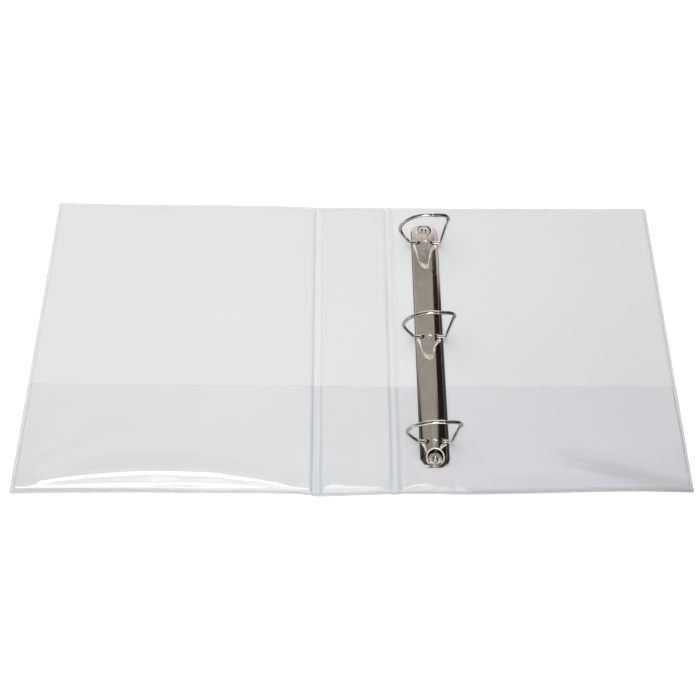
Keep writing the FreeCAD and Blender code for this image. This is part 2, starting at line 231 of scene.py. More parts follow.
def weld_marks(x, y):
    """Tool marks pressed into the welds: height change round the rim and along the folds."""
    edge = edge_distance(x, y)
    mark = -0.10 * bell(edge, 1.55, 0.22) + 0.05 * bell(edge, 1.0, 0.25)
    mark = mark - 0.16 * smooth(1 - edge / 0.7)
    for weld in FOLD_WELDS:
        mark = mark + 0.16 * bell(x, weld + 0.9, 0.55)
        mark = mark - 0.08 * bell(x, weld - 2.1, 0.35) - 0.05 * bell(x, weld + 2.6, 0.35)
    return mark


def unevenness(x, y, on_board):
    """Slow unevenness of vinyl lying on a board, finer on the spine, calm under the housing."""
    slow = 0.10 * waves(x, y, 3, 150) + 0.045 * waves(x, y, 8, 46)
    on_spine = smooth((31.5 - np.abs(x)) / 8.0)
    slow = slow + 0.13 * waves(x * 1.5, y * 0.45, 51, 24) * on_spine
    slow = slow * (0.15 + 0.85 * smooth((np.abs(x - MECH_X) - 13.0) / 12.0))
    near_edge = smooth(1 - np.abs(edge_distance(x, y) - 7) / 9.0)
    ripple = 0.05 * waves(x, y * 0.35, 21, 13) * near_edge
    return (slow + ripple) * on_board


def inner_top(x, y):
    on_board = over_boards(x, y, 2.6, 1.0)
    z = INNER_WELD_Z + (Z_TOP - INNER_WELD_Z) * on_board
    return z + unevenness(x, y, on_board) * 0.9 + weld_marks(x, y) * (1 - on_board)


# Loose folds of the pocket film behind its low weld. foot, crest and height are (x, mm) stations:
# the foot and crest lines are measured from the low edge. ease is the length of the far slope.
LOOSE_FOLDS = [
    # front pocket: long and rippled
    dict(left=-np.inf, right=-41, ease=15.0, rippled=True,
         foot=[(-300, 3.9), (-284, 4.3), (-262, 5.0), (-233, 5.9), (-188, 6.4), (-142, 6.2),
               (-97, 5.0), (-70, 4.0), (-46, 2.9)],
         crest=[(-300, 3.6), (-290, 5.2), (-285, 8.6), (-268, 12.2), (-233, 16.6), (-188, 19.2),
                (-142, 18.7), (-97, 13.2), (-70, 8.0), (-46, 3.6)],
         height=[(-289, 0.0), (-284, 1.3), (-262, 2.8), (-233, 4.2), (-188, 5.0), (-142, 4.7),
                 (-97, 3.0), (-70, 1.3), (-47, 0.0)]),
    # spine pocket: short, highest at the left
    dict(left=-33, right=33, ease=7.0, rippled=False,
         foot=[(-33, 2.4), (-20, 3.0), (8, 2.9), (33, 2.6)],
         crest=[(-33, 3.4), (-24, 8.6), (-10, 7.4), (8, 6.4), (26, 5.0), (33, 3.6)],
         height=[(-32.5, 0.0), (-26, 1.5), (-14, 1.1), (6, 0.8), (24, 0.6), (32.5, 0.0)]),
    # back cover, between the fold and the upright weld
    dict(left=41, right=89, ease=8.0, rippled=False,
         foot=[(41, 2.6), (60, 4.6), (80, 4.6), (89, 3.0)],
         crest=[(41, 3.6), (54, 7.6), (68, 8.6), (82, 8.0), (89, 4.0)],
         height=[(41.5, 0.0), (52, 0.9), (68, 1.25), (80, 0.9), (89, 0.0)]),
    # back cover, beyond the upright weld: broad and soft
    dict(left=91, right=np.inf, ease=20.0, rippled=False,
         foot=[(92, 2.6), (130, 4.2), (200, 4.0), (260, 3.0), (305, 2.4)],
         crest=[(92, 6.0), (120, 13.0), (180, 16.5), (240, 12.0), (280, 7.5), (305, 5.0)],
         height=[(91, 0.0), (110, 1.0), (150, 1.9), (200, 2.2), (250, 1.7), (285, 0.9),
                 (303, 0.2)]),
]
# (x, distance from the low edge) of the valley running down to the back cover's corner
VALLEY = [(170, 36.0), (189, 31.9), (216, 26.4), (243, 20.4), (270, 12.8), (296, 5.4), (304, 3.4)]


def loose_fold(x, y, fold):
    """Rises from the foot line to the crest line and eases off beyond it."""
    foot = Y_LOW + curve(x, fold["foot"])
    crest = Y_LOW + curve(x, fold["crest"])
    height = curve(x, fold["height"])
    if fold["rippled"]:
        height = height * (1 + 0.05 * np.sin(x / 17.0) + 0.03 * np.sin(x / 7.3 + 1.0))
    t = np.clip((y - foot) / np.maximum(crest - foot, 0.4), 0, 1) ** 0.84
    near_slope = t * t * (3 - 2 * t)
    far_slope = np.exp(-(np.maximum(y - crest, 0) / fold["ease"]) ** 1.6)
    within = (x > fold["left"]) & (x < fold["right"])
    return height * np.where(y < crest, near_slope, far_slope) * within


def back_valley(x, y):
    """The valley in the back cover's film, and the film standing higher behind it."""
    foot = Y_LOW + curve(x, LOOSE_FOLDS[-1]["foot"])
    valley = Y_LOW + curve(x, VALLEY)
    behind = 1.5 * smooth((y - valley + 3.0) / 20.0) * smooth((MOUTH_Y - 8 - y) / 60.0)
    dip = 0.9 * bell(y, valley, 6.5) * smooth((y - foot) / 8.0)
    return smooth((x - 165) / 50.0) * (behind - dip)


def crease(x, y, height, centre, weights, width, end_y, fade):
    """A straight ridge through centre, fading out up to end_y; weights of x and y aim it."""
    across = (x - centre[0]) * weights[0] + (y - centre[1]) * weights[1]
    return height * bell(across, 0, width) * smooth((end_y - y) / fade)


def corner_creases(x, y):
    """Soft creases near the front cover's corner, the spine and the mechanism."""
    total = crease(x, y, height=0.30, centre=(-285, -120), weights=(0.5, -0.9), width=5.0,
                   end_y=-88, fade=30) * smooth((y + 150) / 12)
    total = total + crease(x, y, height=0.35, centre=(22, -128), weights=(1, 0.28), width=1.8,
                           end_y=-102, fade=16) * smooth((y + 151) / 8)
    total = total + crease(x, y, height=0.30, centre=(62, -118), weights=(0.8, 0.9), width=3.2,
                           end_y=-98, fade=14) * smooth((x - 44) / 6)
    return total + crease(x, y, height=0.25, centre=(104, -128), weights=(0.7, -0.7), width=3.6,
                          end_y=-100, fade=18) * smooth((y + 150) / 8)


def film_lift(x, y):
    """How far the pocket film stands off the vinyl under it."""
    lift = np.zeros_like(x)
    for fold in LOOSE_FOLDS:
        lift = lift + loose_fold(x, y, fold)
    lift = lift + back_valley(x, y)
    # slack in slow waves, none along the welded edges
    slack = 0.16 * waves(x, y, 31, 70) + 0.05 * waves(x, y, 33, 24)
    off_sides = smooth((x - X_LEFT - 3.5) / 14.0) * smooth((X_RIGHT - 3.5 - x) / 14.0)
    free = off_sides * smooth((y - Y_LOW - 3.0) / 10.0)
    lift = lift + np.maximum(slack + 0.10, -0.02) * free + corner_creases(x, y)
    # held down under the housing and along the upright weld
    beside_housing = smooth((np.abs(x - MECH_X) - 13.5) / 5.0)
    grip = 1 - (1 - beside_housing) * smooth((y - (HOUSING_LO[1] - 3.0)) / 5.0)
    upright_weld = 1 - 0.97 * bell(x, 90.0, 1.6) * smooth(1 - (y + 108.0) / 6.0)
    return np.maximum(lift, 0.0) * grip * upright_weld


def film_top(x, y):
    on_board = over_boards(x, y, 2.3, 1.2)
    z = FILM_WELD_Z + (Z_TOP + FILM_GAP - FILM_WELD_Z) * on_board
    z = z + unevenness(x, y, on_board) * 0.9
    z = np.maximum(z, inner_top(x, y) + FILM_GAP)
    z = z + film_lift(x, y) * smooth(on_board * 1.6)
    for weld in FOLD_WELDS:
        z = z + 0.14 * bell(x, weld + 0.9, 0.6) * (1 - on_board)
    return z


def outer_bottom(x, y):
    on_board = over_boards(x, y, 1.2, 1.2)
    z = 0.15 + 0.03 * smooth(1 - edge_distance(x, y) / 1.5)
    for weld in FOLD_WELDS:
        z = z + 0.10 * bell(x, weld - 2.3, 0.5) + 0.10 * bell(x, weld + 2.3, 0.5)
    return z + 0.02 * (1 + waves(x, y, 5, 90)) * on_board


def outer_top(x, y):
    return outer_bottom(x, y) + OUTER_THICK


def view_top(x, y):
    return outer_bottom(x, y) - VIEW_GAP


def view_bottom(x, y):
    return np.maximum(outer_bottom(x, y) - VIEW_DEPTH, 0.0)


def sagging_mouth(x, y):
    """The pocket's mouth sags a little between the folds."""
    near_mouth = smooth((y - (MOUTH_Y - 30)) / 30.0)
    dip = -0.9 * np.abs(np.sin((x - FOLD_FRONT) / 46.0)) - 0.5 * bell(x, 10, 25)
    return y + near_mouth * dip * 0.8


# ------------------------------------------------------------------ meshes
def to_object(name, verts_mm, faces, smooth_shade=True):
    mesh = bpy.data.meshes.new(name)
    mesh.from_pydata((np.asarray(verts_mm) / 1000.0).tolist(), [], faces)
    mesh.validate()
    mesh.update()
    if smooth_shade:
        mesh.polygons.foreach_set("use_smooth", [True] * len(mesh.polygons))
    ob = bpy.data.objects.new(name, mesh)
    bpy.context.scene.collection.objects.link(ob)
    return ob


def closed_grid(name, x, y, z_top, z_bottom):
    """A closed slab from a grid of points: top, bottom and the four sides."""
    count = x.size
    verts = np.concatenate([np.stack([x, y, z], -1).reshape(-1, 3) for z in (z_top, z_bottom)])
    index = np.arange(count).reshape(x.shape)
    a, b, c, d = index[:-1, :-1], index[:-1, 1:], index[1:, 1:], index[1:, :-1]
    faces = [np.stack([a, b, c, d], -1).reshape(-1, 4),
             np.stack([d, c, b, a], -1).reshape(-1, 4) + count]
    for side in (index[0, :], index[-1, ::-1], index[::-1, 0], index[:, -1]):
        faces.append(np.stack([side[1:], side[:-1], side[:-1] + count, side[1:] + count], -1))
    return to_object(name, verts, np.concatenate(faces).tolist())


# (x, strength) of the darkening in the weld's groove along the low edge
LOW_EDGE_DARKENING = [(-300, 0.07), (-200, 0.09), (0, 0.09), (150, 0.13), (290, 0.20)]


def sheet_mesh(name, columns, rows, top, bottom, shift_rows=None):
    """A closed sheet. top is a height function; bottom is another, or a thickness."""
    x, y = np.meshgrid(columns, rows)
    if shift_rows is not None:
        y = shift_rows(x, y)
    off_table = warp(x, y)
    z_top = top(x, y) + off_table
    z_bottom = bottom(x, y) + off_table if callable(bottom) else z_top - bottom
    out_x, out_y = wander(*round_corners(x, y, COVERS, COVER_CORNER_LOW, COVER_CORNER_HIGH))
    ob = closed_grid(name, out_x, out_y, z_top, z_bottom)
    low_edge_darkening = curve(x, LOW_EDGE_DARKENING) * bell(y - Y_LOW, 1.7, 0.5)
    attribute = ob.data.attributes.new("low_edge_darkening", "FLOAT", "POINT")
    attribute.data.foreach_set("value", np.tile(low_edge_darkening.reshape(-1), 2).astype(np.float32))
    return ob


def core_mesh(name, columns, rows):
    """A die-cut board: rounded corners, edges crushed a little, faces slightly uneven."""
    x, y = np.meshgrid(columns, rows)
    rect = (columns[0], columns[-1], rows[0], rows[-1])
    edge = edge_distance(x, y, rect)
    off_table = warp(x, y)
    crush = (1 - np.clip(edge / 0.8, 0, 1)) ** 2
    z_top = 2.39 - 0.55 * crush - 0.05 * bell(edge, 0, 3.0) + 0.03 * waves(x, y, 61, 30)
    z_bottom = 0.50 + 0.45 * crush + 0.02 * waves(x, y, 62, 40)
    out_x, out_y = wander(*round_corners(x, y, rect, CORE_CORNER, CORE_CORNER))
    return closed_grid(name, out_x, out_y, z_top + off_table, z_bottom + off_table)


def cut_holes(ob, centres, radius):
    """Round holes straight down through a sheet, one boolean each, baked into its mesh."""
    sides, z_below, z_above = 48, -8.0, 14.0
    angles = [2 * math.pi * i / sides for i in range(sides)]
    for x, y in centres:
        ring = [(x + radius * math.cos(a), y + radius * math.sin(a)) for a in angles]
        verts = [(*point, z) for z in (z_below, z_above) for point in ring]
        faces = [list(range(sides))[::-1], list(range(sides, 2 * sides))]
        for i in range(sides):
            after = (i + 1) % sides
            faces.append([i, after, sides + after, sides + i])
        cutter = to_object("cutter", verts, faces, False)
        hole = ob.modifiers.new("hole", "BOOLEAN")
        hole.operation = "DIFFERENCE"
        hole.solver = "EXACT"
        hole.object = cutter
        bpy.context.view_layer.update()
        depsgraph = bpy.context.evaluated_depsgraph_get()
        mesh = bpy.data.meshes.new_from_object(ob.evaluated_get(depsgraph))
        ob.modifiers.clear()
        solid = ob.data
        ob.data = mesh
        bpy.data.meshes.remove(solid)
        bpy.data.objects.remove(cutter)


# ------------------------------------------------------------------ grid lines of the sheets
# distances in from a welded edge, close together where the tool marks and shoulder lie
EDGE_LINES = [0.0, 0.35, 0.7, 1.0, 1.25, 1.5, 1.75, 2.0, 2.2, 2.35, 2.5, 2.7, 2.95, 3.25, 3.6,
              4.0, 4.5, 5.2, 6.2, 7.6, 9.4]
CORE_EDGE_LINES = [0.0, 0.12, 0.35, 0.7, 1.2, 2.0, 3.4]
EDGE_ZONE = 11
CORE_EDGE_ZONE, CORE_STEP = 6, 7.0
STEP = 3.2
FOLD_STEP = 0.3
LEAST_GAP = 0.12


def edge_lines(edge, inward):
    return [edge + inward * distance for distance in EDGE_LINES]


def merge(*parts):
    """All lines in order, without those crowding the one before; the last always stays."""
    places = sorted(set(round(float(place), 4) for part in parts for place in part))
    kept = [places[0]]
    for place in places[1:]:
        if place - kept[-1] > LEAST_GAP:
            kept.append(place)
    kept[-1] = places[-1]
    return np.array(kept)


def core_lines(start, end):
    return merge([start + CORE_INSET + distance for distance in CORE_EDGE_LINES],
                 np.arange(start + CORE_EDGE_ZONE, end - CORE_EDGE_ZONE, CORE_STEP),
                 [end - CORE_INSET - distance for distance in CORE_EDGE_LINES])


COLUMNS = {
    "front": merge(edge_lines(X_LEFT, 1), np.arange(X_LEFT + EDGE_ZONE, -48, STEP),
                   np.arange(-48, -43.4, 1.2), np.arange(-43.0, -SEAM, FOLD_STEP), [-SEAM]),
    "spine": merge(np.arange(-SEAM, -29.5, FOLD_STEP), np.arange(-29, 29, STEP),
                   np.arange(29.5, SEAM, FOLD_STEP), [-SEAM, SEAM]),
    "back": merge([SEAM], np.arange(SEAM + FOLD_STEP, 43.2, FOLD_STEP),
                  np.arange(43.5, 48, 1.2), np.arange(48, X_RIGHT - EDGE_ZONE, STEP),
                  edge_lines(X_RIGHT, -1)),
}
ROWS = merge(edge_lines(Y_LOW, 1), np.arange(Y_LOW + EDGE_ZONE, Y_HIGH - EDGE_ZONE, STEP),
             edge_lines(Y_HIGH, -1))
POCKET_ROWS = merge(edge_lines(Y_LOW, 1), np.arange(Y_LOW + 10.2, Y_LOW + 40, 1.1),
                    np.arange(Y_LOW + 40, MOUTH_Y - 1.5, 2.6),
                    [MOUTH_Y - 0.9, MOUTH_Y - 0.35, MOUTH_Y])


# ------------------------------------------------------------------ shader building
class Signal:
    """A node's output. Arithmetic on it adds math nodes, with the operands in written order."""

    def __init__(self, node, output=0):
        self.socket = node.outputs[output]
        self.tree = node.id_data

    def __add__(self, other):
        return math_node("ADD", self, other)

    def __radd__(self, other):
        return math_node("ADD", other, self)

    def __sub__(self, other):
        return math_node("SUBTRACT", self, other)

    def __rsub__(self, other):
        return math_node("SUBTRACT", other, self)

    def __mul__(self, other):
        return math_node("MULTIPLY", self, other)

    def __abs__(self):
        return math_node("ABSOLUTE", self)


def plug(socket, value):
    """Links a signal, or sets a plain value; colours may leave out their alpha."""
    if isinstance(value, Signal):
        value.tree.links.new(value.socket, socket)
    elif socket.type == "RGBA":
        socket.default_value = (*value, 1)
    else:
        socket.default_value = value


def add(tree, kind, output=0, **inputs):
    """Adds a node, with underscores for spaces in its input names, and returns its output."""
    node = tree.nodes.new(kind)
    for name, value in inputs.items():
        plug(node.inputs[name.replace("_", " ")], value)
    return Signal(node, output)


def plug_in_order(node, values):
    for socket, value in zip(node.inputs, values):
        if value is not None:
            plug(socket, value)
    return Signal(node)


def math_node(operation, first, second=None, clamp=False):
    tree = first.tree if isinstance(first, Signal) else second.tree
    node = tree.nodes.new("ShaderNodeMath")
    node.operation = operation
    node.use_clamp = clamp
    return plug_in_order(node, (first, second))


def vector_math(operation, first, second=None, scale=None):
    node = first.tree.nodes.new("ShaderNodeVectorMath")
    node.operation = operation
    if scale is not None:
        plug(node.inputs["Scale"], scale)
    return plug_in_order(node, (first, second))


def step(value, start, end):
    """0 up to start, 1 from end on, smooth between; start may be the greater."""
    node = value.tree.nodes.new("ShaderNodeMapRange")
    node.interpolation_type = "SMOOTHSTEP"
    plug(node.inputs["From Min"], start)
    plug(node.inputs["From Max"], end)
    plug(node.inputs["Value"], value)
    return Signal(node)


def band(value, in_start, in_end, out_start, out_end):
    """Steps up over the first span and down again over the second."""
    return step(value, in_start, in_end) * (1.0 - step(value, out_start, out_end))


def ramp(value, stops):
    """A grey colour ramp through (position, level) stops."""
    node = value.tree.nodes.new("ShaderNodeValToRGB")
    elements = node.color_ramp.elements
    while len(elements) < len(stops):
        elements.new(0.5)
    for element, (position, level) in zip(elements, stops):
        element.position = position
        element.color = (level, level, level, 1)
    plug(node.inputs["Fac"], value)
    return Signal(node, "Color")


def mix_color(factor, first, second):
    node = factor.tree.nodes.new("ShaderNodeMix")
    node.data_type = "RGBA"
    for name, value in (("Factor", factor), ("A", first), ("B", second)):
        plug(node.inputs[name], value)
    return Signal(node, "Result")


def mix_shader(factor, first, second):
    return plug_in_order(first.tree.nodes.new("ShaderNodeMixShader"), (factor, first, second))


def add_shader(first, second):
    return plug_in_order(first.tree.nodes.new("ShaderNodeAddShader"), (first, second))


def noise(position, scale, detail=4.0, rough=0.55, distort=0.0):
    return add(position.tree, "ShaderNodeTexNoise", "Fac", Scale=scale, Detail=detail,
               Roughness=rough, Distortion=distort, Vector=position)


def bump_normal(height, strength, distance, **normal):
    return add(height.tree, "ShaderNodeBump", Strength=strength, Distance=distance,
               Height=height, **normal)


def split(vector):
    node = vector.tree.nodes.new("ShaderNodeSeparateXYZ")
    plug(node.inputs[0], vector)
    return [Signal(node, i) for i in range(3)]


def ray_is(tree, kind):
    return add(tree, "ShaderNodeLightPath", "Is %s Ray" % kind)


def empty_tree(owner, output_kind):
    """Clears an owner's nodes; returns the tree and its surface input."""
    owner.use_nodes = True
    tree = owner.node_tree
    tree.nodes.clear()
    return tree, tree.nodes.new(output_kind).inputs["Surface"]


def new_material(name):
    """A bare material, its tree, its surface input and the object-space position."""
    material = bpy.data.materials.new(name)
    tree, surface = empty_tree(material, "ShaderNodeOutputMaterial")
    return material, tree, surface, add(tree, "ShaderNodeTexCoord", "Object")


# ------------------------------------------------------------------ vinyl
# painted light and shade along Y by the folds: (x mm, half width mm, change)
VINYL_LINES = [(-41.2, 1.5, 0.06), (-32.6, 1.3, 0.07), (32.7, 1.5, 0.13), (40.9, 1.4, 0.05),
               (38.4, 3.0, -0.045), (36.4, 4.2, -0.02), (-38.6, 2.0, -0.02)]


def painted_vinyl_shading(tree, x, y):
    """Painted light and shade on the vinyl by place, about 1: lighter beside the mechanism, darker
    at the lower right, under the back pocket by the fold and towards the far left, with lines
    along the folds.
    """
    # painted light beside the mechanism; painted shade at the lower right, under the back pocket
    # by the fold and towards the far left
    beside_mech = step(x, 0.040, 0.045) * step(x, 0.075, 0.060) * step(y, -0.060, -0.040)
    low_right = step(x, 0.075, 0.130) * step(y, 0.090, -0.060)
    pocket_left = step(x, 0.040, 0.045) * step(x, 0.090, 0.075) * step(y, -0.050, -0.060)
    far_left = step(x, -0.080, -0.260) * 0.5
    tone = 1.0 + beside_mech * 0.035
    tone = tone - low_right * 0.035
    tone = tone - pocket_left * 0.035
    tone = tone - far_left * 0.030
    # painted light and shade in lines along the folds
    for centre, half_width, change in VINYL_LINES:
        # ABSOLUTE ignores its second input
        distance = math_node("ABSOLUTE", x - centre / 1000.0, 0.0)
        near = step(distance, half_width / 1000.0, 0.2 * half_width / 1000.0)
        tone = tone + near * change
    return tone - low_edge_darkening_signal(tree)


def low_edge_darkening_signal(tree):
    node = tree.nodes.new("ShaderNodeAttribute")
    node.attribute_name = "low_edge_darkening"
    return Signal(node, "Fac")


def painted_cast_under_film(color, x, y):
    """Slight painted colour casts and brightness of light through the pockets' film, on the vinyl
    they cover, panel by panel.
    """
    covered = step(y, -0.0495, -0.0515)
    front = step(x, -0.036, -0.040)
    spine = step(x, -0.036, -0.032) * step(x, 0.036, 0.032)
    back_by_fold = step(x, 0.037, 0.041) * step(x, 0.095, 0.075)
    back_beyond = step(x, 0.075, 0.095)
    for here, tint in ((front, (1.014, 1.012, 1.022)),
                       (spine, (0.975, 0.990, 0.980)),
                       (back_by_fold, (0.980, 0.972, 0.986)),
                       (back_beyond, (0.984, 0.976, 1.014))):
        color = mix_color(here * covered, color, vector_math("MULTIPLY", color, tint))
    return color


def vinyl_material(name, color, drifted, spine, rough, grain):
    """Calendered PVC: fine leather-like grain, slow colour drift and scuffs."""
    material, tree, surface, position = new_material(name)
    x, y, _ = split(position)
    drift = ramp(noise(position, scale=5.0, detail=3.0), [(0.35, 0.0), (0.65, 1.0)])
    shade = mix_color(drift, color, drifted)
    blotch = ramp(noise(position, scale=34.0), [(0.42, 0.0), (0.72, 0.35)])
    shade = mix_color(blotch, shade, tuple(v * 0.98 for v in color))
    shade = mix_color(step(abs(x + 0.001), 0.043, 0.031), shade, spine)
    # painted light and shade by place, and painted casts of light under the pockets' film
    tone = painted_vinyl_shading(tree, x, y)
    shade = vector_math("SCALE", painted_cast_under_film(shade, x, y), scale=tone)

    scuff = noise(position, scale=160.0, detail=6.0, rough=0.7, distort=1.2)
    roughness = ramp(scuff, [(0.3, rough - 0.06), (0.62, rough), (0.78, rough + 0.14)])
    # grain: shallow cells under 1 mm across, over a soft unevenness
    cells = add(tree, "ShaderNodeTexVoronoi", "Distance", Scale=1400.0, Vector=position)
    fine = noise(position, scale=2600.0, detail=3.0)
    grain_normal = bump_normal(cells * 0.6 + fine * 0.4, strength=0.16 * grain, distance=0.0002)
    normal = bump_normal(noise(position, scale=26.0, detail=3.0), strength=0.10, distance=0.004,
                         Normal=grain_normal)
    vinyl = add(tree, "ShaderNodeBsdfPrincipled", Base_Color=shade, Roughness=roughness,
                IOR=1.46, Normal=normal)
    # light bouncing off the vinyl sees a plain colour
    plain = add(tree, "ShaderNodeBsdfDiffuse", Color=color)
    plug(surface, mix_shader(ray_is(tree, "Camera"), plain, vinyl))
    return material


# ------------------------------------------------------------------ clear film
# painted light and shade on the film along Y by the folds: (x mm, half width mm, change)
FILM_LINES = [(-40.2, 1.1, -0.03), (-35.3, 1.3, 0.03), (-33.2, 1.2, -0.03),
              (34.2, 1.1, -0.02), (35.9, 1.2, 0.02), (39.5, 1.2, -0.05)]
FILM_HAZE, FILM_HAZE_COLOR = 0.012, (0.72, 0.74, 0.80)


def film_tint(tree, position, tint, strip_tint):
    """Colour of light through the film, bluer where it is doubled at the folds."""
    x, y, _ = split(position)
    front_strip, back_strip = (step(abs(x - centre), 0.0042, 0.0030) for centre in
                               (FOLD_FRONT / 1000.0 - 0.0002, FOLD_BACK / 1000.0 + 0.0022))
    strips = math_node("ADD", front_strip, back_strip, clamp=True)
    drift = ramp(noise(position, scale=9.0, detail=3.0), [(0.3, 0.0), (0.7, 1.0)])
    color = mix_color(drift, tint, tuple(min(1.0, v * 1.006) for v in tint))
    tone = 1.0
    # painted light and shade in lines along the folds
    for centre, half_width, change in FILM_LINES:
        near = step(abs(x - centre / 1000.0), half_width / 1000.0, 0.25 * half_width / 1000.0)
        tone = tone + near * change
    tone = tone - low_edge_darkening_signal(tree)
    # painted shade in the back cover's valley: a straight line falling 0.25 per unit of x
    fall, through_x, through_y = 0.25, 189, 31.9
    off_valley = y - (Y_LOW + through_y + fall * through_x) / 1000.0 + x * fall
    tone = tone - step(abs(off_valley), 0.013, 0.001) * (step(x, 0.165, 0.260) * 0.085)
    return vector_math("SCALE", mix_color(strips, color, strip_tint), scale=tone)


def box_highlight(position, geometry, reflection, normal):
    """Strength of the painted reflection of the soft box, glowing where the film bulges towards
    it.
    """
    x, y, _ = split(position)
    mirror_x, mirror_y, _ = reflection
    sideways = band(mirror_x, -0.50, -0.42, 0.10, 0.15)
    sideways = sideways + band(mirror_x, 0.10, 0.15, 0.22, 0.45) * 0.14
    strong = band(mirror_y, -0.60, -0.40, 0.02, 0.10) * 0.36
    weak = band(mirror_y, -0.97, -0.88, -0.60, -0.40) * 0.085
    halo = band(mirror_y, 0.00, 0.07, 0.09, 0.22) * 0.015
    strength = (strong + weak + halo) * sideways
    # not on the low weld, and weaker on the spine and the back cover
    strength = strength * step(y, (Y_LOW + 2.6) / 1000.0, (Y_LOW + 4.0) / 1000.0)
    by_panel = 1.0 - step(x, -0.040, -0.034) * 0.45
    by_panel = by_panel - step(x, 0.088, 0.100) * 0.50
    strength = strength * by_panel
    # only on faces leaning towards -Y, seen from well above, from outside
    strength = strength * step(split(normal)[1] * -1.0, 0.05, 0.11)
    strength = strength * step(split(Signal(geometry, "Incoming"))[2], 0.40, 0.60)
    return strength * (1.0 - Signal(geometry, "Backfacing"))


def film_material(name, tint, strip_tint, gloss):
    """Clear PVC film: passes light with a faint tint and haze, under a glossy face."""
    material, tree, surface, position = new_material(name)
    color = film_tint(tree, position, tint, strip_tint)
    clear = add(tree, "ShaderNodeBsdfTransparent", Color=color)
    milky = add(tree, "ShaderNodeBsdfDiffuse", Color=FILM_HAZE_COLOR)
    body = mix_shader(FILM_HAZE, clear, milky)

    normal = bump_normal(noise(position, scale=40.0, detail=3.0), strength=0.12, distance=0.002)
    geometry = tree.nodes.new("ShaderNodeNewGeometry")
    view = vector_math("SCALE", Signal(geometry, "Incoming"), scale=-1.0)
    reflection = split(vector_math("REFLECT", view, normal))
    # the face's reflection is painted dimmer where it mirrors the far side of the room
    face_color = mix_color(step(reflection[1], 0.50, 0.58), (1.0, 1.0, 1.0), (0.25, 0.25, 0.26))
    scuff = noise(position, scale=120.0, detail=6.0, rough=0.7, distort=1.5)
    roughness = ramp(scuff, [(0.3, gloss), (0.65, gloss + 0.04), (0.85, gloss + 0.16)])
    shine = add(tree, "ShaderNodeBsdfGlossy", Color=face_color, Roughness=roughness,
                Normal=normal)
    fresnel = add(tree, "ShaderNodeFresnel", IOR=1.5, Normal=normal)
    face = mix_shader(math_node("MINIMUM", fresnel, 0.17), body, shine)
    # painted reflection of the soft box: the film glows with it
    mirrored = add(tree, "ShaderNodeEmission",
                   Strength=box_highlight(position, geometry, reflection, normal))
    # light on its way through to the sheets below is hardly weakened
    free = add(tree, "ShaderNodeBsdfTransparent", Color=(0.995, 0.995, 0.996))
    plug(surface, mix_shader(ray_is(tree, "Camera"), free, add_shader(face, mirrored)))
    return material


# ------------------------------------------------------------------ metal
# noise scales of the surface marks: drawn lengthwise along Y, or the same every way
DRAWN_ALONG_Y = (3000.0, 30.0, 3000.0)
DRAWN_EVENLY = (900.0, 900.0, 900.0)


def metal_material(name, color, dull, rough, scratch=1.0, drawn_scale=DRAWN_ALONG_Y, marks=None):
    """Plated metal: faint drawing marks, tiny pits, duller smears. marks(tree, position, color)
    gives the principled inputs that paint one part's light and shade."""
    material, tree, surface, position = new_material(name)
    smear = noise(position, scale=90.0, detail=5.0, rough=0.6, distort=0.8)
    base = mix_color(ramp(smear, [(0.45, 0.0), (0.8, 1.0)]), color, dull)
    roughness = ramp(noise(position, scale=240.0),
                     [(0.35, rough), (0.7, rough + 0.05), (0.85, rough + 0.14)])
    stretched = add(tree, "ShaderNodeMapping", Scale=drawn_scale, Vector=position)
    drawn = noise(stretched, scale=1.0, detail=3.0)
    pits = noise(position, scale=1500.0, detail=2.0)
    inputs = {
        "Metallic": 1.0,
        "Base_Color": base,
        "Roughness": roughness,
        "Normal": bump_normal(drawn * 0.6 + pits * 0.4, strength=0.05 * scratch,
                              distance=0.0001),
    }
    if marks is not None:
        inputs.update(marks(tree, position, base))
    plug(surface, add(tree, "ShaderNodeBsdfPrincipled", **inputs))
    return material


def housing_painted_light(tree, position, base):
    """Painted shade on the side walls and ends, painted dark reflection on the dish walls, and
    painted highlights glowing on the dimples.
    """
    x, y, z = (axis * 1000.0 for axis in split(position))
    from_mid = x - MECH_X
    along = abs(y)
    # painted shade on the side walls below the crown, down in the crease against the cover, and on
    # the ends
    on_side = math_node("MAXIMUM", step(abs(from_mid), 12.9, 13.3),
                        step(from_mid, 10.5, 11.3) * step(y, 85.0, 40.0))
    on_end = step(along, HOUSING_HI[1] - 1.0, HOUSING_HI[1] - 0.45)
    dark = math_node("MAXIMUM", on_side, on_end) * 0.93
    # painted dark reflection on the dish's flared wall
    from_rivet = along - RIVET_Y
    radius = math_node("SQRT", from_mid * from_mid + from_rivet * from_rivet)
    flare = 0.407
    wall_radius = (z - DISH_FOOT_Z) * flare + DISH_FOOT_R
    on_wall = step(abs(radius - wall_radius), 0.30, 0.12)
    on_wall = on_wall * (step(z, 4.0, 4.3) * step(along, 110.0, 112.0))
    dark = math_node("MAXIMUM", dark, on_wall * 0.93)
    # painted highlights glowing on the dimples at the middle and one pitch either way, just right
    # of their crests
    half_pitch, bright_x = DIMPLE_PITCH / 2, 0.55
    from_dimple = abs(along - half_pitch) - half_pitch
    distance = math_node("SQRT", (from_mid - bright_x) * (from_mid - bright_x)
                         + from_dimple * from_dimple)
    dimple_highlight = step(distance, 1.25, 0.55) * step(z, 10.15, 10.45)
    return {"Base_Color": mix_color(dark, base, (0.02, 0.018, 0.016)),
            "Emission_Color": (1.0, 0.985, 0.96),
            "Emission_Strength": dimple_highlight * 0.85}


def rim_painted_highlight(tree, position, base):
    """Painted highlight: the rolled rims glow, most where they are nearest."""
    nearest = step(split(position)[1], 0.05, -0.05)
    return {"Emission_Color": (1.0, 0.98, 0.95), "Emission_Strength": nearest * 0.42 + 0.06}


